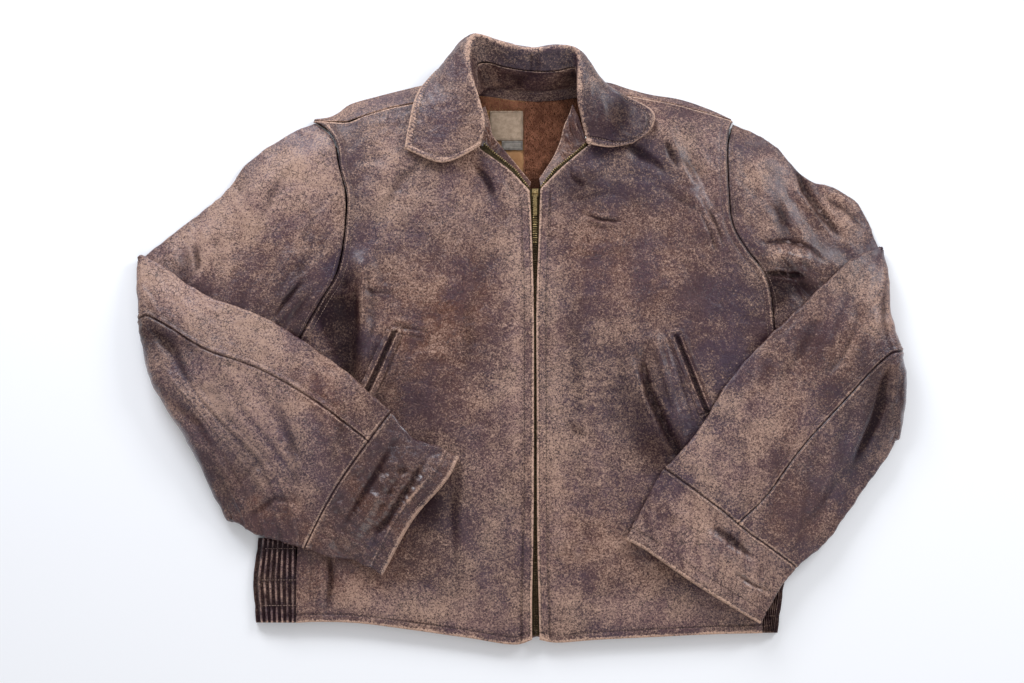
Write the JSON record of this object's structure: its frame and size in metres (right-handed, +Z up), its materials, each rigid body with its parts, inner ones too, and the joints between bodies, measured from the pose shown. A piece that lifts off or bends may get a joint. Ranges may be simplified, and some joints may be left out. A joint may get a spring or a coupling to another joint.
{
  "type": "leather_jacket",
  "caption": "Worn short leather jacket laid flat on its back, zip closed, wide turned collar, both sleeves folded at the elbow over the front, slanted welt pockets and ruched side panels.",
  "frame": {"origin": "on the flat underside of the back, under the zip, midway between hem and collar", "axes": "+X to the wearer's left across the jacket, +Y from hem to collar, +Z up out of the front"},
  "size_m": [0.8714, 0.6894, 0.0528],
  "materials": {
    "hide": "satin",
    "gloss": "glossy",
    "facing": "satin",
    "pile": "matte",
    "label": "matte",
    "tab": "matte",
    "tape": "matte",
    "brass": "worn"
  },
  "bodies": {
    "jacket": {"front_right": "hide", "front_left": "hide", "back": "hide", "side_ruching_right": "gloss", "side_ruching_left": "gloss", "welt_inner_right": "hide", "welt_outer_right": "hide", "welt_inner_left": "hide", "welt_outer_left": "hide", "sleeve_top_right": "hide", "sleeve_under_right": "gloss", "cuff_right": "gloss", "sleeve_top_left": "hide", "sleeve_under_left": "gloss", "cuff_left": "gloss", "collar_stand": "hide", "collar_fall": "hide", "lining_right": "pile", "lining_left": "pile", "facing_right": "facing", "facing_left": "facing", "neck_label": "label", "size_tab": "tab", "zip_tape_right": "tape", "zip_tape_left": "tape", "zip_slider": "brass"},
    "pull": {"zip_pull": "brass"}
  },
  "joints": [
    {"name": "pull_swing", "type": "hinge", "parent": "jacket", "child": "pull", "pos_m": [0.0004, 0.171, 0.03122], "axis": [-1, 0, 0], "range_deg": [0, 150]}
  ]
}
